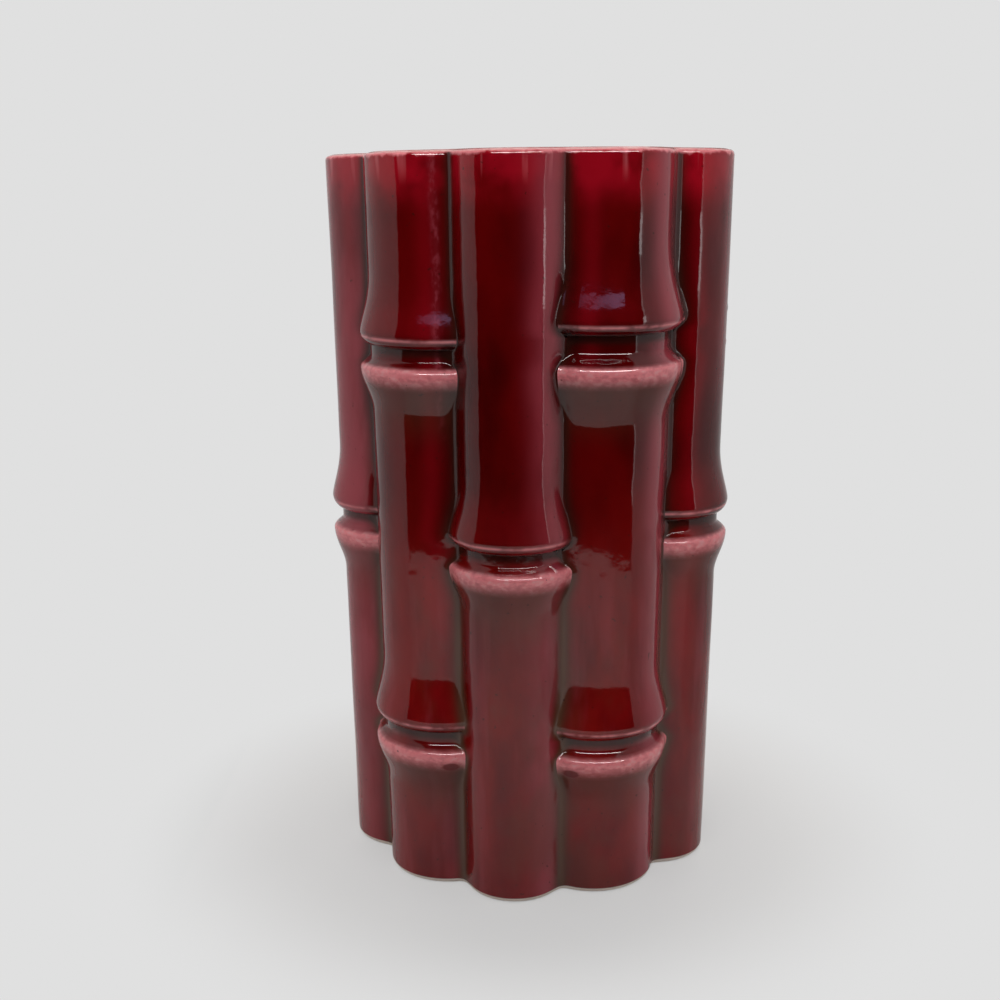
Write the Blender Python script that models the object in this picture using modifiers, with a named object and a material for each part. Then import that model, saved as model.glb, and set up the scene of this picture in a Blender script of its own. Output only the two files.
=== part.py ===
"""Ceramic vase in the form of a ring of bamboo canes, in metres, +Z up.

Canes with one node and canes with two nodes take turns round the vase. Each cane is turned about its
own axis, which leans outwards, and is parted at its nodes into internodes. The two-node canes are cut
back to the one-node canes beside them, so that the flared nodes of one kind sit in the waists of the
other. A fluted well, with the floor set into its foot, hollows the ring.
"""

from math import cos, hypot, pi, sin, sqrt
from typing import NamedTuple

import bmesh
import bpy
from mathutils import Matrix, Vector

# The ring of canes
HEIGHT = 0.250
CANE_PAIRS = 5
CLEARANCE = 0.0003

# Canes with one node: how far the face stands from the vase's axis, and the radius of the cane
SINGLE_FACE_FOOT = 0.0675
SINGLE_FACE_RIM = 0.0718
SINGLE_RADIUS_FOOT = 0.0170
SINGLE_RADIUS_RIM = 0.0187

# Canes with two nodes
DOUBLE_FACE_FOOT = 0.0655
DOUBLE_FACE_RIM = 0.0700
DOUBLE_RADIUS_FOOT = 0.0215
DOUBLE_RADIUS_RIM = 0.0230

# Places of the nodes
END_INTERNODE = 0.0575
MIDDLE_NODE_RISE = 0.0025

# Form of a node, from the crease under the upper lip
LIP_PROUD = 0.0034
LIP_DROP = 0.0045
NECK_SINK = 0.0008
SHELF_DROP = 0.0076
SHELF_CURVE = 1.8
LIP_FLARE = 0.0200
SHELF_FLARE = 0.0150

# How far nodes of the carved master stray from that, by cane and by node from the foot up
HEIGHT_STRAY = {(1, 0): -0.0028, (2, 1): 0.0021, (3, 0): 0.0016, (10, 1): -0.0033}
PROUD_STRAY = {(2, 1): 0.0010, (4, 0): -0.0012, (4, 1): -0.0014}
SHELF_STRAY = {(2, 1): 0.0036}

# Rim, foot, wall and floor
RIM_ROUND = 0.0018
FOOT_ROUND = 0.0024
WALL = 0.0050
RIM_CHAMFER = 0.0014
LEDGE_RISE = 0.0022
LEDGE_WIDTH = 0.0030
FLOOR_THICK = 0.0058
FLOOR_DISH = 0.0008
FLOOR_DISH_SHARE = 0.7
WELL_ROUND = 0.0120

# Facets
TURN_STEPS = 30
WELL_COLUMNS_PER_CANE = 8
FLARE_STEPS = 4
LIP_STEPS = 3
SHELF_STEPS = 4
EDGE_STEPS = 2
WELL_ROUND_STEPS = 3
SMOOTH_ANGLE = pi / 5
OVERRUN = 0.0060
MERGE = 0.00001

GLAZE_COLOUR = (0.13, 0.004, 0.008, 1.0)
GLAZE_ROUGHNESS = 0.12
CLAY_COLOUR = (0.78, 0.69, 0.60, 1.0)
CLAY_ROUGHNESS = 0.75


class Cane(NamedTuple):
    """One kind of cane: its face and its radius at the foot and at the rim."""

    face_foot: float
    face_rim: float
    radius_foot: float
    radius_rim: float

    def radius(self, z):
        return self.radius_foot + (self.radius_rim - self.radius_foot) * z / HEIGHT

    def axis(self, z):
        """Distance of the cane's axis from the vase's axis."""
        face = self.face_foot + (self.face_rim - self.face_foot) * z / HEIGHT
        return face - self.radius(z)


class Node(NamedTuple):
    """One node of a cane: the height of its crease, how proud its lips are and how deep its shelf."""

    crease: float
    proud: float
    shelf: float


SINGLE = Cane(SINGLE_FACE_FOOT, SINGLE_FACE_RIM, SINGLE_RADIUS_FOOT, SINGLE_RADIUS_RIM)
DOUBLE = Cane(DOUBLE_FACE_FOOT, DOUBLE_FACE_RIM, DOUBLE_RADIUS_FOOT, DOUBLE_RADIUS_RIM)

CANE_COUNT = 2 * CANE_PAIRS
CANE_PITCH = 2 * pi / CANE_COUNT
FLOOR_BOTTOM = LEDGE_RISE + CLEARANCE
FLOOR_TOP = FLOOR_BOTTOM + FLOOR_THICK


def ease(t):
    """Falls from 1 to 0 as t goes from 0 to 1, level at both ends."""
    return 0.5 * (1 + cos(pi * t))


def steps(count):
    """Shares of the way from 0 to 1, without the 0."""
    return [(i + 1) / count for i in range(count)]


def valley(z):
    """Distance from the vase's axis to the groove where two neighbouring canes cross."""
    a, b = SINGLE.axis(z), DOUBLE.axis(z)
    across = Vector((b * cos(CANE_PITCH) - a, b * sin(CANE_PITCH)))
    apart = across.length
    along = (apart**2 + SINGLE.radius(z) ** 2 - DOUBLE.radius(z) ** 2) / (2 * apart)
    out = sqrt(SINGLE.radius(z) ** 2 - along**2)
    unit = across / apart
    return hypot(a + unit.x * along + unit.y * out, unit.y * along - unit.x * out)


def core(z):
    """Radius of the well behind the grooves, where it leaves the plain wall."""
    return valley(z) - WALL


def under_lip(cane, node):
    """From the flare above a node down to the crease: the lip and its rounded underside."""
    peak = node.crease + LIP_DROP
    points = [(cane.radius(peak + LIP_FLARE), peak + LIP_FLARE)]
    for t in steps(FLARE_STEPS):
        z = peak + LIP_FLARE * (1 - t)
        points.append((cane.radius(z) + node.proud * ease(1 - t), z))
    for t in steps(LIP_STEPS):
        turn = t * pi / 2
        z = peak - LIP_DROP * sin(turn)
        points.append((cane.radius(z) - NECK_SINK + (node.proud + NECK_SINK) * cos(turn), z))
    return points


def below_crease(cane, node, top):
    """From the neck below a crease, out over the shelf to its lip and back to the waist."""
    peak = node.crease - node.shelf
    points = [(cane.radius(top) - NECK_SINK, top)]
    for t in steps(SHELF_STEPS):
        z = top + (peak - top) * t
        points.append((cane.radius(z) - NECK_SINK + (node.proud + NECK_SINK) * ease(1 - t**SHELF_CURVE), z))
    for t in steps(FLARE_STEPS):
        z = peak - SHELF_FLARE * t
        points.append((cane.radius(z) + node.proud * ease(t), z))
    return points


def rim_edge(cane):
    """From the top of the cane over its rounded outer edge."""
    inner = cane.radius(HEIGHT) - RIM_ROUND
    turns = [0.0] + [t * pi / 2 for t in steps(EDGE_STEPS)]
    return [(inner + RIM_ROUND * sin(a), HEIGHT - RIM_ROUND * (1 - cos(a))) for a in turns]


def foot_edge(cane):
    """Round the outer edge of the foot to the surface that the vase stands on."""
    inner = cane.radius(0) - FOOT_ROUND
    turns = [0.0] + [t * pi / 2 for t in steps(EDGE_STEPS)]
    return [(inner + FOOT_ROUND * cos(a), FOOT_ROUND * (1 - sin(a))) for a in turns]


def internode(cane, upper_node, lower_node):
    """Outline of the cane between two nodes, top to bottom; None stands for the rim or the foot."""
    if upper_node is None:
        points = rim_edge(cane)
    else:
        points = below_crease(cane, upper_node, upper_node.crease - CLEARANCE)
    points += foot_edge(cane) if lower_node is None else under_lip(cane, lower_node)
    return [(0.0, points[0][1])] + points + [(0.0, points[-1][1])]


def whole_cane(cane, nodes):
    """Outline of the unparted cane, run on past the rim and the foot."""
    points = [(cane.radius(HEIGHT + OVERRUN), HEIGHT + OVERRUN)]
    for node in reversed(nodes):
        points += under_lip(cane, node) + below_crease(cane, node, node.crease)[1:]
    return points + [(cane.radius(-OVERRUN), -OVERRUN)]


def grown(points, by):
    """The outline moved outwards by a distance square to itself, closed to the axis."""
    normals = []
    for (r0, z0), (r1, z1) in zip(points, points[1:]):
        length = hypot(r1 - r0, z1 - z0)
        normals.append(Vector(((z0 - z1) / length, (r1 - r0) / length)))
    moved = []
    for i, point in enumerate(points):
        before = normals[max(i - 1, 0)]
        after = normals[min(i, len(normals) - 1)]
        mitre = (before + after) * by / (1 + before.dot(after))
        moved.append((point[0] + mitre.x, point[1] + mitre.y))
    return [(0.0, moved[0][1])] + moved + [(0.0, moved[-1][1])]


def turned_mesh(name, outline, turn_steps):
    """A closed solid turned about Z from an outline that runs down its outer side."""
    mesh = bpy.data.meshes.new(name)
    edges = [(i, i + 1) for i in range(len(outline) - 1)]
    mesh.from_pydata([(r, 0.0, z) for r, z in outline], edges, [])
    guide = bpy.data.objects.new(name, mesh)
    bpy.context.scene.collection.objects.link(guide)
    screw = guide.modifiers.new("turn", "SCREW")
    screw.steps = screw.render_steps = turn_steps
    screw.use_merge_vertices = True
    screw.merge_threshold = MERGE
    graph = bpy.context.evaluated_depsgraph_get()
    turned = bpy.data.meshes.new_from_object(guide.evaluated_get(graph))
    bpy.data.objects.remove(guide)
    bpy.data.meshes.remove(mesh)
    turned.name = name
    turned.shade_smooth()
    turned.set_sharp_from_angle(angle=SMOOTH_ANGLE)
    return turned


def leaning_mesh(name, cane, outline):
    """A turned solid moved out to the cane's axis, every level section kept round and level."""
    mesh = turned_mesh(name, outline, TURN_STEPS)
    lean = (cane.axis(HEIGHT) - cane.axis(0)) / HEIGHT
    mesh.transform(Matrix.Translation((cane.axis(0), 0, 0)) @ Matrix.Shear("XY", 4, (lean, 0)))
    return mesh


def well_mesh(name):
    """The hollow of the vase: a recess under the floor, the floor's seat, and the fluted well."""
    columns = CANE_COUNT * WELL_COLUMNS_PER_CANE

    def level(z, radius, flute):
        angles = [2 * pi * i / columns for i in range(columns)]
        waves = [flute * (1 - ease(CANE_COUNT * a / pi + 1)) for a in angles]
        return [((radius + w) * cos(a), (radius + w) * sin(a), z) for a, w in zip(angles, waves)]

    def flute(z):
        face = min(SINGLE.axis(z) + SINGLE.radius(z), DOUBLE.axis(z) + DOUBLE.radius(z))
        return face - WALL - core(z)

    seat = core(LEDGE_RISE)
    round_top = FLOOR_TOP + WELL_ROUND
    lip = HEIGHT - RIM_CHAMFER
    rings = [
        level(-OVERRUN, seat - LEDGE_WIDTH, 0.0),
        level(LEDGE_RISE, seat - LEDGE_WIDTH, 0.0),
        level(LEDGE_RISE, seat, 0.0),
        level(FLOOR_TOP, core(FLOOR_TOP), 0.0),
    ]
    for t in steps(WELL_ROUND_STEPS):
        z = FLOOR_TOP + (round_top - FLOOR_TOP) * t
        rings.append(level(z, core(z), flute(z) * (1 - ease(t))))
    rings += [
        level(lip, core(lip), flute(lip)),
        level(HEIGHT + OVERRUN, core(lip) + RIM_CHAMFER + OVERRUN, flute(lip)),
    ]
    built = bmesh.new()
    loops = [[built.verts.new(point) for point in ring] for ring in rings]
    for low, high in zip(loops, loops[1:]):
        for i in range(columns):
            j = (i + 1) % columns
            built.faces.new((low[i], low[j], high[j], high[i]))
    built.faces.new(reversed(loops[0]))
    built.faces.new(loops[-1])
    mesh = bpy.data.meshes.new(name)
    built.to_mesh(mesh)
    built.free()
    return mesh


def floor_outline():
    """The floor: a dished disc that stands on the ledge inside the canes."""
    low = core(FLOOR_BOTTOM) - CLEARANCE
    high = core(FLOOR_TOP) - CLEARANCE
    return [
        (0.0, FLOOR_TOP - FLOOR_DISH),
        (high * FLOOR_DISH_SHARE, FLOOR_TOP - FLOOR_DISH),
        (high, FLOOR_TOP),
        (low, FLOOR_BOTTOM),
        (0.0, FLOOR_BOTTOM),
    ]


def material(name, colour, roughness):
    made = bpy.data.materials.new(name)
    made.use_nodes = True
    shader = made.node_tree.nodes["Principled BSDF"]
    shader.inputs["Base Color"].default_value = colour
    shader.inputs["Roughness"].default_value = roughness
    shader.inputs["Metallic"].default_value = 0.0
    made.diffuse_color = colour
    return made


def place(mesh, collection, parent, angle):
    """An object of this mesh, turned about the vase's axis from the front, which faces -Y."""
    placed = bpy.data.objects.new(mesh.name, mesh)
    placed.parent = parent
    placed.rotation_euler.z = angle - pi / 2
    collection.objects.link(placed)
    return placed


def cut(piece, cutter):
    boolean = piece.modifiers.new("cut_" + cutter.name, "BOOLEAN")
    boolean.operation = "DIFFERENCE"
    boolean.solver = "EXACT"
    boolean.object = cutter


def cane_nodes(number):
    """The nodes of a cane, lowest first."""
    if number % 2:
        creases = [HEIGHT / 2 + MIDDLE_NODE_RISE]
    else:
        creases = [END_INTERNODE, HEIGHT - END_INTERNODE]
    nodes = []
    for i, crease in enumerate(creases):
        key = (number, i)
        nodes.append(
            Node(
                crease + HEIGHT_STRAY.get(key, 0.0),
                LIP_PROUD + PROUD_STRAY.get(key, 0.0),
                SHELF_DROP + SHELF_STRAY.get(key, 0.0),
            )
        )
    return nodes


def internode_names(count):
    return ["lower", "upper"] if count == 2 else ["lower", "middle", "upper"]


def build():
    for existing in list(bpy.data.objects):
        bpy.data.objects.remove(existing)
    parts = bpy.data.collections.new("bamboo_vase")
    cutters = bpy.data.collections.new("cutters")
    for collection in (parts, cutters):
        bpy.context.scene.collection.children.link(collection)
    vase_axis = bpy.data.objects.new("vase_axis", None)
    parts.objects.link(vase_axis)
    glaze = material("oxblood_glaze", GLAZE_COLOUR, GLAZE_ROUGHNESS)
    clay = material("bare_clay", CLAY_COLOUR, CLAY_ROUGHNESS)

    def cutter(mesh, angle):
        made = place(mesh, cutters, vase_axis, angle)
        made.hide_render = True
        made.display_type = "WIRE"
        return made

    numbers = range(1, CANE_COUNT + 1)
    angles = {number: (number - 1) * CANE_PITCH for number in numbers}
    well = cutter(well_mesh("well"), angles[1])
    seats = {}
    for number in numbers[::2]:
        outline = grown(whole_cane(SINGLE, cane_nodes(number)), CLEARANCE)
        seats[number] = cutter(leaning_mesh(f"seat_{number:02d}", SINGLE, outline), angles[number])

    for number in numbers:
        cane = SINGLE if number in seats else DOUBLE
        ends = [None] + cane_nodes(number) + [None]
        for i, name in enumerate(internode_names(len(ends) - 1)):
            outline = internode(cane, ends[i + 1], ends[i])
            mesh = leaning_mesh(f"cane_{number:02d}_{name}", cane, outline)
            mesh.materials.append(glaze)
            piece = place(mesh, parts, vase_axis, angles[number])
            if number not in seats:
                cut(piece, seats[number - 1])
                cut(piece, seats[number % CANE_COUNT + 1])
            cut(piece, well)

    disc = turned_mesh("floor", floor_outline(), CANE_COUNT * WELL_COLUMNS_PER_CANE)
    disc.materials.append(clay)
    place(disc, parts, vase_axis, angles[1])


build()
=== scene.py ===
from math import cos, pi, radians, sin

import bmesh
import bpy
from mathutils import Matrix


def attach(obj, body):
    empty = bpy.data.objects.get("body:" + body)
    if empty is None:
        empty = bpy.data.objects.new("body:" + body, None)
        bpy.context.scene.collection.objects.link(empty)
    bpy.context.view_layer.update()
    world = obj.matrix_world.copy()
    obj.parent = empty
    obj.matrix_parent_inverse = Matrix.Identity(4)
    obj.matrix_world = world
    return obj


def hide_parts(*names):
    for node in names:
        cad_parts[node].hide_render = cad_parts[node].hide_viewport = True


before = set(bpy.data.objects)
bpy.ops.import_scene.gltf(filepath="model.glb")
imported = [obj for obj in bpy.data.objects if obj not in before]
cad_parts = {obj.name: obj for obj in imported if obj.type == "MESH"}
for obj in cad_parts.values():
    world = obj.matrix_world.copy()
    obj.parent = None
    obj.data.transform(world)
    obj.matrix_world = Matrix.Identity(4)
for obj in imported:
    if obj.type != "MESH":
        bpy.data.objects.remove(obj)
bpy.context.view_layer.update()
print("frame:", len(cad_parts), "solids")


class Wire:  # a node socket that takes part in Python expressions
    def __init__(self, tree, socket=None):
        self.tree = tree
        self.socket = socket

    def node(self, kind, settings=None, sockets=None, out=0):
        made = self.tree.nodes.new(kind)
        for name, value in (settings or {}).items():
            setattr(made, name, value)
        for key, value in (sockets or {}).items():
            if isinstance(value, Wire):
                self.tree.links.new(value.socket, made.inputs[key])
            else:
                made.inputs[key].default_value = value
        return Wire(self.tree, made.outputs[out])

    def math(self, operation, *others):
        inputs = dict(enumerate((self, *others)))
        return self.node("ShaderNodeMath", {"operation": operation}, inputs)

    def flipped(self, operation, other):
        return self.node("ShaderNodeMath", {"operation": operation}, {0: other, 1: self})

    def __add__(self, other):
        return self.math("ADD", other)

    def __radd__(self, other):
        return self.math("ADD", other)

    def __sub__(self, other):
        return self.math("SUBTRACT", other)

    def __rsub__(self, other):
        return self.flipped("SUBTRACT", other)

    def __mul__(self, other):
        return self.math("MULTIPLY", other)

    def __rmul__(self, other):
        return self.math("MULTIPLY", other)

    def __truediv__(self, other):
        return self.math("DIVIDE", other)

    def __rtruediv__(self, other):
        return self.flipped("DIVIDE", other)

    def clamp(self):
        return self.node("ShaderNodeClamp", None, {"Value": self})

    def sqrt(self):
        return self.math("MAXIMUM", 0.0).math("SQRT")

    def ease(self):  # 1 at 0 and 0 at 1, level at both ends
        return (self * pi).math("COSINE") * 0.5 + 0.5

    def bell(self, centre, width):  # 1 at the centre, falling away on both sides
        off = (self - centre) / width
        return (off * off * -1).math("EXPONENT")

    def step(self, low, high):  # 0 below low, 1 above high
        return self.node("ShaderNodeMapRange", {"interpolation_type": "SMOOTHSTEP"},
                         {"Value": self, "From Min": low, "From Max": high})

    def blend(self, first, second):  # the socket mixes two colours
        inputs = {0: self, 6: first, 7: second}
        return self.node("ShaderNodeMix", {"data_type": "RGBA"}, inputs, out=2)


# sizes of the ring in metres, the same as the solids
ring = {"height": 0.250, "canes": 10, "wall": 0.0050, "floorTop": 0.0083, "wellRound": 0.0120,
        "ledgeRise": 0.0022, "ledgeWidth": 0.0030}
oneNode = {"Face Foot": 0.0675, "Face Rim": 0.0718, "Radius Foot": 0.0170, "Radius Rim": 0.0187}
twoNode = {"Face Foot": 0.0655, "Face Rim": 0.0700, "Radius Foot": 0.0215, "Radius Rim": 0.0230}
nodeForm = {"Lip Drop": 0.0045, "Neck Sink": 0.0008,
            "Lip Flare": 5.6, "Shelf Flare": 4.4}  # flares in lengths of the lip
nodeCurve = {"lipFlare": 0.7, "shelf": 1.8}  # powers that bend the flare and the shelf
edges = {"Rim Round": 0.0018, "Rim Inner": 0.0014, "Foot Round": 0.0024,
         "Fillet": 0.0115, "Lip Fillet": 0.0045, "Wobble": 0.0003}
uneven = {"scale": 34.0, "detail": 1.0, "stretch": 0.6}  # hand-made unevenness
rimLift = {"least": 0.0005, "swing": 0.0016, "towards": 0.70,  # the rim stands higher at the front right
           "from": 0.205, "crown": 0.0012}
grain = {"columns": 44, "depth": 7, "rowsPerMetre": 1420, "crowding": 0.86, "bunching": 1.15, "sharp": 48}
nodePlaces = {"one": [0.1275], "two": [0.0575, 0.1925], "proud": 0.0034, "shelf": 0.0076}
nodeStray = {  # by cane and node, lowest first: crease, proud, shelf
    (1, 0): (-0.0028, 0, 0), (2, 1): (0.0021, 0.0010, 0.0036), (3, 0): (0.0016, 0, 0),
    (4, 0): (0, -0.0017, 0), (4, 1): (0, -0.0014, 0), (10, 1): (-0.0033, 0, 0)}
noNode = (-1.0, nodePlaces["proud"], nodePlaces["shelf"])  # stands for a node that isn't there
glazeBands = {  # lengths along a cane from its lip or shelf: two ends of a step, or a bell's centre and width
    "lipTop": (-0.0023, -0.0007), "lipFade": (-0.0004, 0.0060), "hang": (0.0038, 0.0016),
    "lipLine": (-0.0014, 0.0005), "neckFrom": (-0.0036, -0.0012), "neckTo": (0.0, 0.0010),
    "flareFrom": (-0.0010, 0.0010), "flareTo": (0.0050, 0.0200),
    "underFrom": (0.0020, 0.0050), "underTo": (0.0060, 0.0280), "groove": (0.0, 0.0027)}


def caneNodes(number):
    places = nodePlaces["one"] if number % 2 else nodePlaces["two"]
    found = []
    for i, place in enumerate(places):
        crease, proud, shelf = nodeStray.get((number, i), (0, 0, 0))
        found.append((place + crease, nodePlaces["proud"] + proud, nodePlaces["shelf"] + shelf))
    return found


def internodeTree():
    tree = bpy.data.node_groups.new("bambooInternode", "GeometryNodeTree")
    tree.interface.new_socket("Geometry", in_out="OUTPUT", socket_type="NodeSocketGeometry")
    sizes = ["Bottom", "Top", "Turn"]
    sizes += list(oneNode) + ["Side " + name for name in oneNode]
    sizes += [f"{side} {node} {what}" for side in ("Own", "Left", "Right")
              for node in ("Low", "High") for what in ("Crease", "Proud", "Shelf")]
    sizes += list(nodeForm) + list(edges)
    for name in sizes:
        tree.interface.new_socket(name, in_out="INPUT", socket_type="NodeSocketFloat")
    tree.interface.new_socket("Rows", in_out="INPUT", socket_type="NodeSocketInt")
    tree.interface.new_socket("Glaze", in_out="INPUT", socket_type="NodeSocketMaterial")
    entry = tree.nodes.new("NodeGroupInput")
    net = Wire(tree)
    size = {name: Wire(tree, entry.outputs[name]) for name in sizes}
    height, pitch = ring["height"], 2 * pi / ring["canes"]

    block = net.node("GeometryNodeMeshCube", None, {
        "Size": (2, 2, 2), "Vertices X": grain["columns"] + 1, "Vertices Y": grain["depth"] + 1,
        "Vertices Z": Wire(tree, entry.outputs["Rows"])})
    at = net.node("GeometryNodeInputPosition")
    across = net.node("ShaderNodeSeparateXYZ", None, {0: at}, out="X")
    depth = net.node("ShaderNodeSeparateXYZ", None, {0: at}, out="Y") * 0.5 + 0.5
    up = net.node("ShaderNodeSeparateXYZ", None, {0: at}, out="Z") * 0.5 + 0.5
    rise = up - (up * (2 * pi)).math("SINE") * (grain["crowding"] / (2 * pi))  # rows crowd at both ends
    z = size["Bottom"] + (size["Top"] - size["Bottom"]) * rise
    share = z / height

    def swell(node):  # how far a node stands proud of the plain cane
        above = z - size[node + " Crease"]
        proud, drop, sink = size[node + " Proud"], size[node + " Shelf"], size["Neck Sink"]
        under = 1 - (above / size["Lip Drop"]).clamp()
        flare = ((above - size["Lip Drop"]) / (proud * size["Lip Flare"])).clamp()
        flare = flare.math("POWER", nodeCurve["lipFlare"]).ease()
        lip = (1 - under * under).sqrt() + flare * proud / (proud + sink)
        fall = above * -1 - drop
        out = 1 - (fall / drop * -1).clamp()
        flare = (fall / (proud * size["Shelf Flare"])).clamp().ease()
        shelf = (1 - out.math("POWER", nodeCurve["shelf"])).ease() + flare * proud / (proud + sink)
        return (lip + shelf) * (proud + sink) - sink - proud * 2

    def plainCane(side):  # radius and distance of the axis, before the nodes
        radiusFoot, faceFoot = size[side + "Radius Foot"], size[side + "Face Foot"]
        radius = radiusFoot + (size[side + "Radius Rim"] - radiusFoot) * share
        face = faceFoot + (size[side + "Face Rim"] - faceFoot) * share
        return radius, face - radius, face

    ownPlain, ownAxis, ownFace = plainCane("")
    sidePlain, sideAxis, sideFace = plainCane("Side ")
    own = ownPlain + swell("Own Low") + swell("Own High")
    left = sidePlain + swell("Left Low") + swell("Left High")
    right = sidePlain + swell("Right Low") + swell("Right High")

    # angle round the cane at which its neighbour's circle crosses it
    awayX = sideAxis * cos(pitch) - ownAxis
    awayY = sideAxis * sin(pitch)
    apart = (awayX * awayX + awayY * awayY).sqrt()
    towards = awayY.math("ARCTAN2", awayX)

    def crossing(mine, theirs):
        along = (apart * apart + mine * mine - theirs * theirs) / (apart * 2)
        return towards - (along / mine).math("ARCCOSINE")

    bunching = grain["bunching"]
    spread = (across * bunching).math("SINE") / sin(bunching)  # columns crowd towards the grooves
    turn = (spread.math("MAXIMUM", 0.0) * crossing(own, right)
            + spread.math("MINIMUM", 0.0) * crossing(own, left))
    outX = ownAxis + own * turn.math("COSINE")
    outY = own * turn.math("SINE")
    azimuth = outY.math("ARCTAN2", outX)
    reach = (outX * outX + outY * outY).sqrt()

    def reachOf(axis, radius, angle):  # how far a cane comes out from the vase's axis, at an angle
        off = axis * angle.math("SINE")
        return axis * angle.math("COSINE") + (radius * radius - off * off).sqrt()

    plainReach = reachOf(ownAxis, ownPlain, azimuth)
    outer = reach
    for lips, angle in ((right, azimuth - pitch), (left, azimuth + pitch)):
        hollow = plainReach.math("SMOOTH_MAX", reachOf(sideAxis, sidePlain, angle), size["Fillet"])
        seam = reach.math("SMOOTH_MAX", reachOf(sideAxis, lips, angle), size["Lip Fillet"])
        outer = outer.math("MAXIMUM", hollow.math("MAXIMUM", seam))
    fromGroove = (1 - spread.math("ABSOLUTE")) * crossing(own, right) * own

    # the well behind the canes
    grooveTurn = crossing(ownPlain, sidePlain)
    grooveX = ownAxis + ownPlain * grooveTurn.math("COSINE")
    grooveY = ownPlain * grooveTurn.math("SINE")
    core = (grooveX * grooveX + grooveY * grooveY).sqrt() - ring["wall"]
    flute = ownFace.math("MINIMUM", sideFace) - ring["wall"] - core
    opened = 1 - ((z - ring["floorTop"]) / ring["wellRound"]).clamp().ease()
    inner = core + flute * opened * ((azimuth * ring["canes"]).math("COSINE") * 0.5 + 0.5)
    inner = inner - z.math("LESS_THAN", ring["ledgeRise"]) * ring["ledgeWidth"]

    # hand-made unevenness, then the rounded rim and foot
    heading = size["Turn"] + azimuth
    lookUp = net.node("ShaderNodeCombineXYZ", None, {
        0: outer * heading.math("SINE"), 1: outer * heading.math("COSINE") * -1, 2: z * uneven["stretch"]})
    bumps = net.node("ShaderNodeTexNoise", None, {
        "Vector": lookUp, "Scale": uneven["scale"], "Detail": uneven["detail"]}, out="Fac") - 0.5
    outer = outer + bumps * size["Wobble"] * 2
    nearRim = ((z - height + size["Rim Round"]) / size["Rim Round"]).clamp()
    rimTurn = 1 - (1 - nearRim * nearRim).sqrt()
    nearFoot = (1 - z / size["Foot Round"]).clamp()
    footTurn = 1 - (1 - nearFoot * nearFoot).sqrt()
    outer = outer - size["Rim Round"] * rimTurn - size["Foot Round"] * footTurn
    inner = inner + size["Rim Inner"] * rimTurn
    radius = outer + (inner - outer) * depth
    topRow = up.math("GREATER_THAN", 0.9999)
    crown = depth * (1 - depth) * rimLift["crown"] * nearRim * topRow
    lifted = z.step(rimLift["from"], height) * (
        rimLift["least"] + (heading - rimLift["towards"]).math("COSINE") * rimLift["swing"])

    # masks for the glaze
    def marks(node):
        above = z - size[node + " Crease"]
        fall = above * -1 - size[node + " Shelf"]
        lipUp = above - size["Lip Drop"]

        def between(length, first, last):  # rises over the first band and falls over the last
            return length.step(*glazeBands[first]) * (1 - length.step(*glazeBands[last]))

        return {
            "lip": between(fall, "lipTop", "lipFade"),
            "hang": fall.bell(*glazeBands["hang"]),
            "lipLine": lipUp.bell(*glazeBands["lipLine"]),
            "neck": between(above, "neckFrom", "neckTo"),
            "flare": between(lipUp, "flareFrom", "flareTo"),
            "under": between(fall, "underFrom", "underTo"),
        }

    outside = depth.math("LESS_THAN", 0.5)
    low, high = marks("Own Low"), marks("Own High")
    masks = {name: (low[name] + high[name]) * outside for name in low}
    masks["groove"] = fromGroove.bell(*glazeBands["groove"]) * outside
    masks["side"] = spread
    masks["inside"] = depth
    masks["rise"] = z
    made = block
    for name, mask in masks.items():
        made = net.node("GeometryNodeStoreNamedAttribute", {"data_type": "FLOAT", "domain": "POINT"},
                        {"Geometry": made, "Name": name, "Value": mask})
    place = net.node("ShaderNodeCombineXYZ", None, {
        0: radius * heading.math("SINE"), 1: radius * heading.math("COSINE") * -1,
        2: z + crown + lifted})
    made = net.node("GeometryNodeSetPosition", None, {"Geometry": made, "Position": place})
    made = net.node("GeometryNodeSetShadeSmooth", None, {"Geometry": made})
    made = net.node("GeometryNodeRealizeInstances", None, {"Geometry": made})
    made = net.node("GeometryNodeSetMaterial", None, {
        "Geometry": made, "Material": Wire(tree, entry.outputs["Glaze"])})
    result = tree.nodes.new("NodeGroupOutput")
    tree.links.new(made.socket, result.inputs["Geometry"])
    return tree


def grownMesh(name, tree, values):  # runs a tree and keeps its result as a plain mesh
    guide = bpy.data.objects.new(name, bpy.data.meshes.new(name + "Guide"))
    bpy.context.scene.collection.objects.link(guide)
    modifier = guide.modifiers.new("grow", "NODES")
    modifier.node_group = tree
    for socket in tree.interface.items_tree:
        if socket.in_out == "INPUT" and socket.name in values:
            modifier[socket.identifier] = values[socket.name]
    graph = bpy.context.evaluated_depsgraph_get()
    mesh = bpy.data.meshes.new_from_object(guide.evaluated_get(graph))
    bpy.data.objects.remove(guide)
    mesh.name = name
    mesh.set_sharp_from_angle(angle=radians(grain["sharp"]))
    return mesh


def addPiece(name, mesh, node):
    piece = bpy.data.objects.new(name, mesh)
    bpy.context.scene.collection.objects.link(piece)
    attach(piece, "root")
    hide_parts(node)
    return piece


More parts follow.
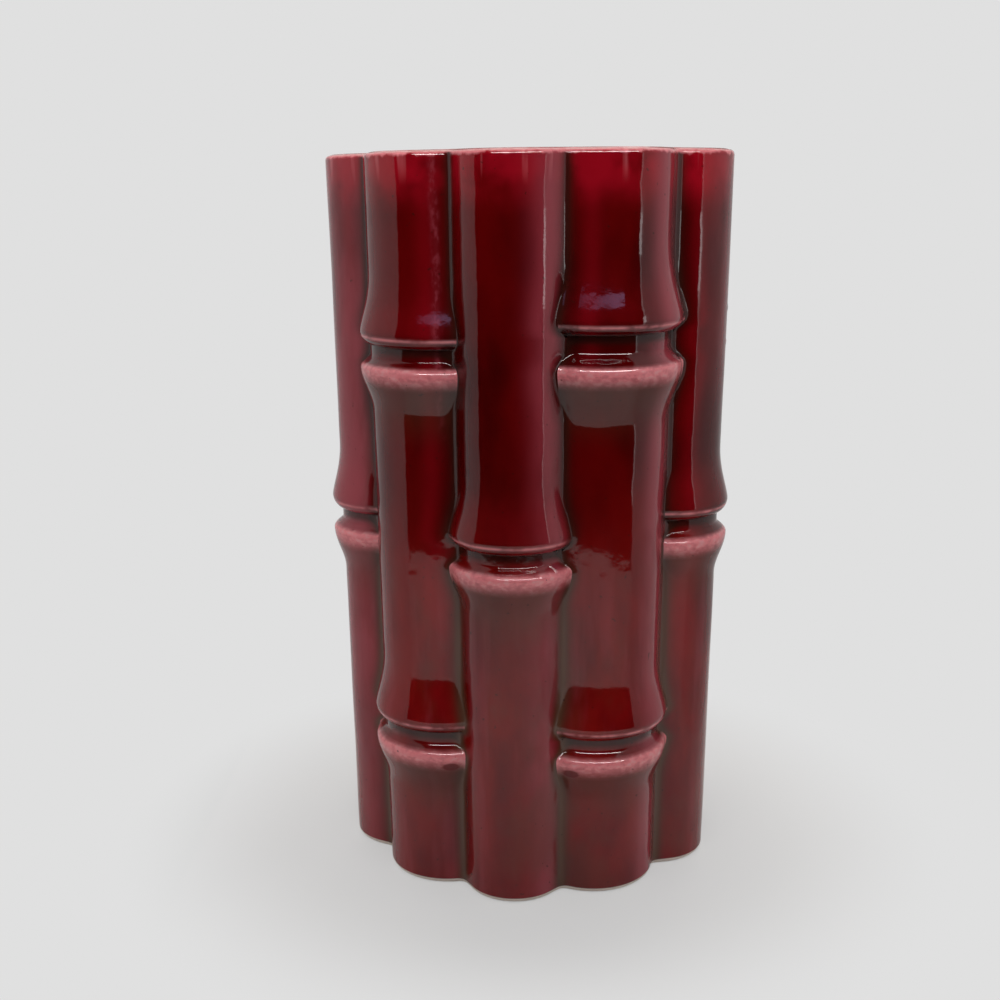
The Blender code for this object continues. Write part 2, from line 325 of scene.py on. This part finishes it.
# glaze: deep red where it lies thick, pink where it runs thin over lips and rim, dark and brown in the hollows,
# partly pooled glaze and partly painted shade
glazeLooks = {
    "deep": (0.057, 0.0003, 0.0004, 1), "warm": (0.128, 0.0006, 0.0010, 1),
    "low": (0.225, 0.0060, 0.0045, 1), "bright": (0.360, 0.0036, 0.0120, 1),
    "milkyAndReflection": (0.340, 0.045, 0.062, 1), "olive": (0.092, 0.030, 0.015, 1),
    "pooledAndShade": (0.034, 0.0085, 0.0055, 1), "brown": (0.125, 0.058, 0.033, 1),
    "thin": (0.800, 0.235, 0.250, 1), "bare": (0.720, 0.490, 0.450, 1),
    "rosy": (0.480, 0.170, 0.170, 1), "worn": (0.560, 0.370, 0.340, 1), "clay": (0.84, 0.74, 0.65, 1),
    "gloss": 0.05, "thinRough": 0.10, "fineRough": 0.02, "clayRough": 0.75,
    "wave": 0.85, "waveHeight": 0.0003, "waveScale": 80, "ripple": 420, "rippleShare": 0.08}
glazeHeights = {  # heights over which a look comes in, or goes out
    "lowHalf": (0.100, 0.165), "below": (0.085, 0.140), "glow": (0.050, 0.100), "right": (0.130, 0.200),
    "streak": (0.150, 0.190), "drop": (0.070, 0.090), "dull": (0.165, 0.195), "leftFoot": (0.015, 0.080),
    "foot": (0.020, 0.070), "bareFoot": (0.0017, 0.0021)}
glazeRim = {"bright": (-0.0200, -0.0050), "edge": (-0.0016, -0.0006), "ragged": 0.0034,
            "drip": (-0.0110, -0.0010), "crest": (-0.0008, -0.0001)}  # heights from the rim
glazeAcross = {  # places to the right of the axis
    "left": (-0.050, -0.055), "right": (0.058, 0.068), "flank": (-0.012, 0.002),
    "innerFrom": (0.026, 0.034), "innerTo": (0.050, 0.058),
    "dullFrom": (0.004, 0.012), "dullTo": (0.046, 0.054),
    "streakFrom": (-0.010, -0.020), "streakTo": (-0.054, -0.048)}
glazeFront = {"ends": (0.012, -0.004), "glow": (0.020, -0.010), "streak": (0.0, -0.012)}  # y, less in front
glazeSides = {  # places round a cane, -1 to 1: a bell's centre and width
    "glow": (-0.64, 0.14), "flank": (0.66, 0.27), "inner": (0.38, 0.20), "streak": (-0.76, 0.05),
    "drop": (-0.80, 0.13), "leftFrom": (-0.6, 0.3)}  # leftFrom has the two ends of a step
glazeGrain = {  # plain noise: scale, detail, stretch upwards
    "fine": (900, 3.0, 1.0), "mottle": (380, 4.0, 1.6), "wander": (60, 2.0, 0.5), "ragged": (330, 3.0, 0.25),
    "under": (80, 2.0, 1.0)}
glazeClouds = {  # noise: scale, detail, stretch upwards, and the two ends of its step
    "base": (38, 3.0, 0.45, 0.36, 0.68), "low": (64, 4.0, 0.45, 0.34, 0.66), "bright": (90, 2.0, 1.0, 0.15, 0.65),
    "cloudy": (70, 4.0, 0.25, 0.32, 0.64), "streak": (500, 4.0, 0.6, 0.42, 0.66),
    "olive": (44, 4.0, 0.6, 0.48, 0.70), "veil": (130, 4.0, 0.12, 0.48, 0.70),
    "drip": (240, 2.0, 0.08, 0.60, 0.72), "lipLine": (160, 2.0, 1.0, 0.25, 0.60),
    "worn": (450, 4.0, 1.0, 0.30, 0.62), "speck": (620, 1.0, 1.0, 0.745, 0.775)}
glazePatches = {  # least share of a look, and what its clouds add
    "low": (0.32, 0.60), "flank": (0.42, 0.42), "left": (0.20, 0.65), "right": (0.06, 0.32),
    "leftFoot": (0.5, 0.5), "streak": (0.12, 0.5), "under": (0.25, 0.4), "edge": (0.5, 0.5)}
glazeShares = {"flare": 0.15, "glow": 0.30, "foot": 0.08, "inner": 0.6, "olive": 0.40, "veil": 0.26, "neck": 0.8,
               "groove": 0.9, "brown": 0.8, "drip": 0.35, "thin": 0.95, "rosy": 0.9, "worn": 0.55,
               "pale": 0.32, "drop": 0.9, "speck": 0.6, "wander": 0.15}
glazeLips = {"least": 0.66, "mottled": 0.36, "grainy": 0.4, "mottle": (0.34, 0.60), "pale": (0.50, 0.70),
             "bead": (0.30, 0.62)}


def glazeMaterial():
    material = bpy.data.materials.new("oxbloodGlaze")
    material.use_nodes = True
    shader = material.node_tree.nodes["Principled BSDF"]
    net = Wire(material.node_tree)
    at = net.node("ShaderNodeTexCoord", None, None, out="Object")
    names = ("lip", "hang", "lipLine", "neck", "flare", "under", "groove", "side", "inside", "rise")
    mask = {name: net.node("ShaderNodeAttribute", {"attribute_name": name}, None, out="Fac") for name in names}
    x = net.node("ShaderNodeSeparateXYZ", None, {0: at}, out="X")
    y = net.node("ShaderNodeSeparateXYZ", None, {0: at}, out="Y")
    z = mask["rise"]  # height before the rim's lift
    side = mask["side"]
    inner = side * x.math("SIGN")  # -1 at the groove nearer the front
    outside = 1 - mask["inside"]

    def noise(scale, detail=2.0, stretch=1.0):
        mapped = net.node("ShaderNodeMapping", None, {"Vector": at, "Scale": (1, 1, stretch)})
        return net.node("ShaderNodeTexNoise", None, {"Vector": mapped, "Scale": scale, "Detail": detail}, out="Fac")

    def clouds(name):
        scale, detail, stretch, low, high = glazeClouds[name]
        return noise(scale, detail, stretch).step(low, high)

    def patchy(name, cloud):
        least, more = glazePatches[name]
        return least + cloud * more

    def height(name):
        return z.step(*glazeHeights[name])

    def nearRim(name, level=z):
        low, high = glazeRim[name]
        return level.step(ring["height"] + low, ring["height"] + high)

    def over(colour, share, name):
        return share.clamp().blend(colour, glazeLooks[name])

    fine, mottle = noise(*glazeGrain["fine"]), noise(*glazeGrain["mottle"])
    colour = clouds("base").blend(glazeLooks["deep"], glazeLooks["warm"])
    colour = over(colour, (1 - height("lowHalf")) * patchy("low", clouds("low")), "low")

    # brighter red: below the rim as painted light from above, over the lips, and beside the front grooves as a
    # painted reflection
    # the brighter red below the rim is painted light from above
    bright = nearRim("bright") + mask["flare"] * glazeShares["flare"]
    dull = x.step(*glazeAcross["dullFrom"]) * (1 - x.step(*glazeAcross["dullTo"])) * (1 - height("dull"))
    # glow is a painted reflection: the middle cane's pale sides, mirrored bright red in the flanks of the canes
    # beside it
    glow = inner.bell(*glazeSides["glow"]) * height("glow") * y.step(*glazeFront["glow"])
    glow = glow * glazeShares["glow"] * (1 - dull)
    colour = over(colour, (bright * clouds("bright") + glow) * outside, "bright")

    # milky veils on the right flanks and the outer canes, and a pink streak on one cane by the front groove, a
    # painted reflection of the middle cane's pale side
    cloudy = clouds("cloudy")
    ends = y.step(*glazeFront["ends"])
    left = x.step(*glazeAcross["left"]) * ends * side.step(*glazeSides["leftFrom"])
    left = left * patchy("leftFoot", height("leftFoot"))
    right = x.step(*glazeAcross["right"]) * ends * height("right")
    flank = side.bell(*glazeSides["flank"]) * x.step(*glazeAcross["flank"])
    within = x.step(*glazeAcross["innerFrom"]) * (1 - x.step(*glazeAcross["innerTo"]))
    flank = flank + side.bell(*glazeSides["inner"]) * within * glazeShares["inner"]
    milk = flank * patchy("flank", cloudy) + left * patchy("left", cloudy) + right * patchy("right", cloudy)
    # the streak is a painted reflection: the middle cane's pale side mirrored in the flank of the cane to its left
    wander = inner + (noise(*glazeGrain["wander"]) - 0.5) * glazeShares["wander"]
    streak = patchy("streak", clouds("streak")) * wander.bell(*glazeSides["streak"])
    streak = streak * x.step(*glazeAcross["streakFrom"]) * x.step(*glazeAcross["streakTo"])
    streak = streak * height("streak") * y.step(*glazeFront["streak"])
    colour = over(colour, (milk + streak) * outside, "milkyAndReflection")

    # browner towards the foot; dark in the necks and grooves and brown in the lower grooves, partly pooled glaze and
    # partly painted shade
    below = 1 - height("below")
    colour = over(colour, below * clouds("olive") * glazeShares["olive"], "olive")
    veil = below * clouds("veil") * glazeShares["veil"]
    colour = over(colour, veil + (1 - height("foot")) * glazeShares["foot"], "milkyAndReflection")
    colour = over(colour, mask["under"] * patchy("under", noise(*glazeGrain["under"])), "olive")
    # the dark necks and grooves and the brown lower grooves are partly glaze pooled in the hollows, partly painted
    # shade
    pooledAndShade = mask["neck"] * glazeShares["neck"] + mask["groove"] * glazeShares["groove"]
    colour = over(colour, pooledAndShade, "pooledAndShade")
    colour = over(colour, mask["groove"] * below * glazeShares["brown"], "brown")

    # thin and pink on lips and rim
    edge = nearRim("edge", z + (noise(*glazeGrain["ragged"]) - 0.5) * glazeRim["ragged"])
    drip = clouds("drip") * nearRim("drip") * glazeShares["drip"]
    spotted = glazeLips["least"] + mottle.step(*glazeLips["mottle"]) * glazeLips["mottled"]
    spotted = spotted + fine * glazeLips["grainy"]
    lips = mask["lip"] * spotted + mask["lipLine"] * clouds("lipLine")
    thin = (lips + drip + edge * patchy("edge", fine)).clamp()
    colour = over(colour, thin * glazeShares["thin"], "thin")
    pale = mask["lip"] * mottle.step(*glazeLips["pale"]) * glazeShares["pale"]
    colour = over(colour, pale, "bare")
    crest = nearRim("crest")
    colour = over(colour, crest * glazeShares["rosy"], "rosy")
    colour = over(colour, crest * clouds("worn") * glazeShares["worn"], "worn")

    # beads of glaze at one end of the lowest lips, specks, and bare clay at the foot
    drop = mask["hang"] * inner.bell(*glazeSides["drop"]) * (1 - height("drop"))
    colour = over(colour, drop.step(*glazeLips["bead"]) * glazeShares["drop"], "warm")
    colour = over(colour, clouds("speck") * outside * glazeShares["speck"], "pooledAndShade")
    unglazed = 1 - height("bareFoot")
    colour = over(colour, unglazed, "clay")
    net.tree.links.new(colour.socket, shader.inputs["Base Color"])
    rough = glazeLooks["gloss"] + thin * glazeLooks["thinRough"] + fine * glazeLooks["fineRough"]
    rough = rough + unglazed * (glazeLooks["clayRough"] - glazeLooks["gloss"])
    net.tree.links.new(rough.socket, shader.inputs["Roughness"])
    swells = noise(glazeLooks["waveScale"], 1.5) + noise(glazeLooks["ripple"]) * glazeLooks["rippleShare"]
    waves = net.node("ShaderNodeBump", None, {
        "Strength": glazeLooks["wave"], "Distance": glazeLooks["waveHeight"], "Height": swells}, out="Normal")
    net.tree.links.new(waves.socket, shader.inputs["Normal"])
    return material


glaze = glazeMaterial()
tree = internodeTree()
print("glaze and internode tree ready")

for number in range(1, ring["canes"] + 1):
    own, side = (oneNode, twoNode) if number % 2 else (twoNode, oneNode)
    values = {**own, **{"Side " + name: size for name, size in side.items()}, **nodeForm, **edges}
    values["Turn"] = (number - 1) * 2 * pi / ring["canes"]
    values["Glaze"] = glaze
    neighbours = {"Own": number, "Left": (number - 2) % ring["canes"] + 1,
                  "Right": number % ring["canes"] + 1}
    for place, cane in neighbours.items():
        for which, node in zip(("Low", "High"), caneNodes(cane) + [noNode]):
            for what, value in zip(("Crease", "Proud", "Shelf"), node):
                values[f"{place} {which} {what}"] = value
    ends = [0.0] + [node[0] for node in caneNodes(number)] + [ring["height"]]
    names = ["lower", "upper"] if len(ends) == 3 else ["lower", "middle", "upper"]
    for bottom, top, name in zip(ends, ends[1:], names):
        values["Bottom"], values["Top"] = bottom, top
        values["Rows"] = int((top - bottom) * grain["rowsPerMetre"])
        node = f"cane_{number:02d}_{name}"
        addPiece("glazed_" + node, grownMesh("glazed_" + node, tree, values), node)
print("canes grown:", ring["canes"])


# floor of the well: dished and glazed above, bare clay beneath
floorForm = {"radius": 0.0478, "bottom": 0.0025, "top": 0.0083, "dish": 0.0008, "fillet": 0.0030,
             "chamfer": 0.0006, "turns": 160, "rings": (0.15, 0.35, 0.55, 0.75), "ringsBelow": (0.7, 0.4, 0.15),
             "sharp": 40}
floorLooks = {"cloudScale": 60.0, "speckScale": 1400.0, "clouds": (0.35, 0.7), "specks": (0.30, 0.75),
              "darkClay": (0.66, 0.52, 0.41, 1), "bareFrom": 0.0008, "bareTo": 0.0014,
              "cloudRough": 0.04, "bump": 0.3, "bumpHeight": 0.0003}


def floorMesh():
    radius, bottom, fillet = floorForm["radius"], floorForm["bottom"], floorForm["fillet"]
    arc = [i * pi / 16 for i in range(9)]
    dished = floorForm["top"] - floorForm["dish"]
    outline = [(radius * t, dished) for t in floorForm["rings"]]
    outline += [(radius - fillet * (1 - sin(a)), dished + fillet * (1 - cos(a))) for a in arc]
    outline += [(radius, bottom + floorForm["chamfer"]), (radius - floorForm["chamfer"], bottom)]
    outline += [(radius * t, bottom) for t in floorForm["ringsBelow"]]
    built = bmesh.new()
    turns = [2 * pi * i / floorForm["turns"] for i in range(floorForm["turns"])]
    rings = [[built.verts.new((r * cos(a), r * sin(a), z)) for a in turns] for r, z in outline]
    for upper, lower in zip(rings, rings[1:]):
        for i in range(len(turns)):
            j = (i + 1) % len(turns)
            built.faces.new((upper[i], lower[i], lower[j], upper[j]))
    built.faces.new(rings[0])
    built.faces.new(reversed(rings[-1]))
    mesh = bpy.data.meshes.new("glazed_floor")
    built.to_mesh(mesh)
    built.free()
    mesh.shade_smooth()
    mesh.set_sharp_from_angle(angle=radians(floorForm["sharp"]))
    return mesh


def floorMaterial():
    material = bpy.data.materials.new("floorGlaze")
    material.use_nodes = True
    shader = material.node_tree.nodes["Principled BSDF"]
    net = Wire(material.node_tree)
    at = net.node("ShaderNodeTexCoord", None, None, out="Object")
    z = net.node("ShaderNodeSeparateXYZ", None, {0: at}, out="Z")
    clouds = net.node("ShaderNodeTexNoise", None, {
        "Vector": at, "Scale": floorLooks["cloudScale"], "Detail": 3.0}, out="Fac")
    specks = net.node("ShaderNodeTexNoise", None, {
        "Vector": at, "Scale": floorLooks["speckScale"], "Detail": 2.0}, out="Fac")
    glazed = clouds.step(*floorLooks["clouds"]).blend(glazeLooks["pooledAndShade"], glazeLooks["warm"])
    clay = specks.step(*floorLooks["specks"]).blend(glazeLooks["clay"], floorLooks["darkClay"])
    bottom = floorForm["bottom"]
    under = 1 - z.step(bottom + floorLooks["bareFrom"], bottom + floorLooks["bareTo"])
    net.tree.links.new(under.blend(glazed, clay).socket, shader.inputs["Base Color"])
    rough = glazeLooks["gloss"] + under * (glazeLooks["clayRough"] - glazeLooks["gloss"])
    rough = rough + clouds * floorLooks["cloudRough"]
    net.tree.links.new(rough.socket, shader.inputs["Roughness"])
    bump = net.node("ShaderNodeBump", None, {
        "Strength": floorLooks["bump"], "Distance": floorLooks["bumpHeight"], "Height": specks * under}, out="Normal")
    net.tree.links.new(bump.socket, shader.inputs["Normal"])
    return material


disc = floorMesh()
disc.materials.append(floorMaterial())
addPiece("glazed_floor", disc, "floor")
print("floor laid")


# the photograph's viewpoint
cameraSet = {"distance": 0.4962, "height": 0.2477, "turn": 7.55, "pitch": 13.72,
             "sensor": 36, "framePixels": 1000, "focalPixels": 1384.0, "axisPixel": 533.6}


def setCamera():
    eye = bpy.data.cameras.new("camera")
    pixels = cameraSet["framePixels"]
    eye.sensor_width = cameraSet["sensor"]
    eye.lens = cameraSet["sensor"] * cameraSet["focalPixels"] / pixels
    eye.shift_x = (pixels / 2 - cameraSet["axisPixel"]) / pixels
    eye.clip_start = 0.01
    made = bpy.data.objects.new("camera", eye)
    turn = radians(cameraSet["turn"])
    away = cameraSet["distance"]
    made.location = (away * sin(turn), -away * cos(turn), cameraSet["height"])
    made.rotation_euler = (radians(90 - cameraSet["pitch"]), 0, turn)
    bpy.context.scene.collection.objects.link(made)
    bpy.context.scene.camera = made


# studio: a small light box with pale side walls, open to a dark room in front, lit from above the opening
studio = {"pale": 0.745, "ceiling": 0.86, "leftWall": 0.38, "rightWall": 0.31, "wallBack": -0.34, "wallTop": 0.42,
          "leftEdge": (-0.125, 0.101), "rightEdge": (0.161, 0.132),  # across and towards the camera, from the axis
          "table": (0.64, 0.635, 0.62, 1), "tableFront": 0.43, "tableReach": 2.0, "tableDrop": 0.0002,
          "fadeFrom": 0.085, "fadeTo": 0.160, "fadeLeast": 0.55,
          "roomRadius": 0.80, "roomLow": -0.6, "roomHigh": 0.66, "frontHalf": 100, "backHalf": 26,
          "wallColour": (0.3, 0.3, 0.3, 1), "dark": (0.010, 0.010, 0.010, 1), "black": (0, 0, 0, 1),
          "roofSide": 0.8, "roofBack": -0.15, "roofFront": 0.85, "panelRadius": 0.45, "slitFront": 0.003}
slits = {"thinSlit": {"glow": 1.5, "back": 0.003, "low": 0.10, "high": 0.36},  # bright lines at the right wall's edge
         "wideSlit": {"glow": 3.5, "back": 0.010, "low": 0.188, "high": 0.226}}
haze = {"parts": 12, "partTurn": 5, "from": -30, "low": 0.364, "high": 0.454,  # a dim panel, brighter to the right
        "glow": 0.5, "gain": 0.13, "tint": (0.64, 0.55, 1.0, 1)}
strip = {"parts": 30, "partTurn": 3, "from": -35, "low": 0.478, "high": 0.524,  # for the glints on the nodes alone
         "glow": 42.0, "tint": (1.0, 0.98, 0.95, 1)}


def onStage(across, ahead, z):  # a place as the camera sees it: to its right, and from the vase towards it
    turn = radians(cameraSet["turn"])
    return (across * cos(turn) + ahead * sin(turn), across * sin(turn) - ahead * cos(turn), z)


def arcPlaces(radius, degrees):  # places round the axis, 0 towards the camera
    return [(radius * sin(radians(a)), radius * cos(radians(a))) for a in degrees]


def stageObject(name, points, faces, material, seen):
    mesh = bpy.data.meshes.new(name)
    mesh.from_pydata(points, [], faces)
    mesh.materials.append(material)
    made = bpy.data.objects.new(name, mesh)
    made.visible_camera = seen
    bpy.context.scene.collection.objects.link(made)
    return made


def plainMaterial(name, colour, glow, tint=(1, 1, 1, 1)):
    material = bpy.data.materials.new(name)
    material.use_nodes = True
    shader = material.node_tree.nodes["Principled BSDF"]
    shader.inputs["Base Color"].default_value = colour
    shader.inputs["Roughness"].default_value = 1.0
    shader.inputs["Specular IOR Level"].default_value = 0.0
    shader.inputs["Emission Color"].default_value = tint
    shader.inputs["Emission Strength"].default_value = glow
    return material


def tableMaterial():
    material = plainMaterial("paleTable", studio["table"], 0.0)
    net = Wire(material.node_tree)
    shader = material.node_tree.nodes["Principled BSDF"]
    at = net.node("ShaderNodeTexCoord", None, None, out="Object")
    away = net.node("ShaderNodeVectorMath", {"operation": "LENGTH"}, {0: at}, out="Value")
    seen = net.node("ShaderNodeLightPath", None, None, out="Is Camera Ray")
    flat = net.node("ShaderNodeEmission", None, {
        "Color": (studio["pale"], studio["pale"], studio["pale"], 1), "Strength": 1.0})
    least = studio["fadeLeast"]
    fade = (least + away.step(studio["fadeFrom"], studio["fadeTo"]) * (1 - least)) * seen
    lit = Wire(net.tree, shader.outputs[0])
    mixed = net.node("ShaderNodeMixShader", None, {0: fade, 1: lit, 2: flat})
    net.tree.links.new(mixed.socket, material.node_tree.nodes["Material Output"].inputs["Surface"])
    return material


def upright(name, places, low, high, material):  # a wall through places seen from above
    points = [onStage(across, ahead, z) for across, ahead in places for z in (low, high)]
    faces = [(2 * i, 2 * i + 1, 2 * i + 3, 2 * i + 2) for i in range(len(places) - 1)]
    return stageObject(name, points, faces, material, False)


def setStage():
    far, front = studio["tableReach"], studio["tableFront"]
    edge = arcPlaces(front, [6 * i - 90 for i in range(31)]) + [(front, -far), (-front, -far)]
    stageObject("paleTable", [onStage(*place, -studio["tableDrop"]) for place in edge],
                [tuple(range(len(edge)))[::-1]], tableMaterial(), True)
    for side in ("left", "right"):
        across, ahead = studio[side + "Edge"]
        wall = plainMaterial(side + "Pale", studio["wallColour"], studio[side + "Wall"])
        upright(side + "Wall", [(across, ahead), (across, studio["wallBack"])], 0, studio["wallTop"], wall)
    across, ahead = studio["rightEdge"]
    for name, slit in slits.items():
        glowing = plainMaterial(name, studio["black"], slit["glow"])
        inset = across - 2 * slit["back"] / 3
        places = [(inset, ahead - slit["back"]), (inset, ahead + studio["slitFront"])]
        upright(name, places, slit["low"], slit["high"], glowing)
    for i in range(haze["parts"]):
        glowing = plainMaterial(f"haze{i}", studio["black"], haze["glow"] + haze["gain"] * i, haze["tint"])
        turns = [haze["partTurn"] * (i + step) + haze["from"] for step in (0, 0.5, 1)]
        upright(f"dimPanel{i}", arcPlaces(studio["panelRadius"], turns), haze["low"], haze["high"], glowing)
    glowing = plainMaterial("brightStrip", studio["black"], strip["glow"], strip["tint"])
    turns = [strip["partTurn"] * i + strip["from"] for i in range(strip["parts"] + 1)]
    made = upright("brightStrip", arcPlaces(studio["panelRadius"], turns), strip["low"], strip["high"], glowing)
    made.visible_diffuse = made.visible_shadow = False
    dark = plainMaterial("darkRoom", studio["dark"], 0.0)
    for name, middle in (("front", 0), ("back", 180)):  # parts of a round wall far outside the light box
        turns = [middle + studio[name + "Half"] * (i / 16 - 1) for i in range(33)]
        upright(name + "Room", arcPlaces(studio["roomRadius"], turns), studio["roomLow"], studio["roomHigh"], dark)
    wide, near, behind = studio["roofSide"], studio["roofFront"], studio["roofBack"]
    corners = [(wide, behind), (-wide, behind), (-wide, near), (wide, near)]
    made = stageObject("darkRoof", [onStage(*place, studio["roomHigh"]) for place in corners],
                       [(0, 1, 2, 3)], dark, False)
    made.visible_diffuse = made.visible_shadow = False  # keeps the ceiling out of the front's reflections

    world = bpy.data.worlds.new("paleStudio")
    bpy.context.scene.world = world
    world.use_nodes = True
    net = Wire(world.node_tree)
    back = world.node_tree.nodes["Background"]
    path = {kind: net.node("ShaderNodeLightPath", None, None, out=f"Is {kind} Ray")
            for kind in ("Camera", "Glossy", "Transmission")}
    shown = (path["Camera"] + path["Glossy"] + path["Transmission"]).clamp()
    strength = studio["ceiling"] + shown * (studio["pale"] - studio["ceiling"])
    back.inputs["Color"].default_value = (1, 1, 1, 1)
    net.tree.links.new(strength.socket, back.inputs["Strength"])


lamps = {"softLamp": {"place": (0.0, 0.62, 0.75), "aim": 0.12, "size": (0.90, 0.50), "watts": 3.1,
                      "mirrored": False},
         "topLamp": {"place": (0.0, -0.20, 1.10), "aim": 0.0, "size": (0.50, 0.30), "watts": 5.2,
                     "mirrored": True}}
lampColour = (1.0, 0.99, 0.97)


def addLamps():
    for name, lamp in lamps.items():
        light = bpy.data.lights.new(name, "AREA")
        light.shape = "RECTANGLE"
        light.size, light.size_y = lamp["size"]
        light.energy = lamp["watts"]
        light.color = lampColour
        made = bpy.data.objects.new(name, light)
        made.location = onStage(*lamp["place"])
        away = made.location.copy()
        away.z -= lamp["aim"]
        made.rotation_euler = away.to_track_quat("Z", "Y").to_euler()
        made.visible_camera = False
        made.visible_glossy = lamp["mirrored"]
        bpy.context.scene.collection.objects.link(made)


setStage()
addLamps()
setCamera()
bpy.context.scene.view_settings.view_transform = "Standard"
print("studio set")
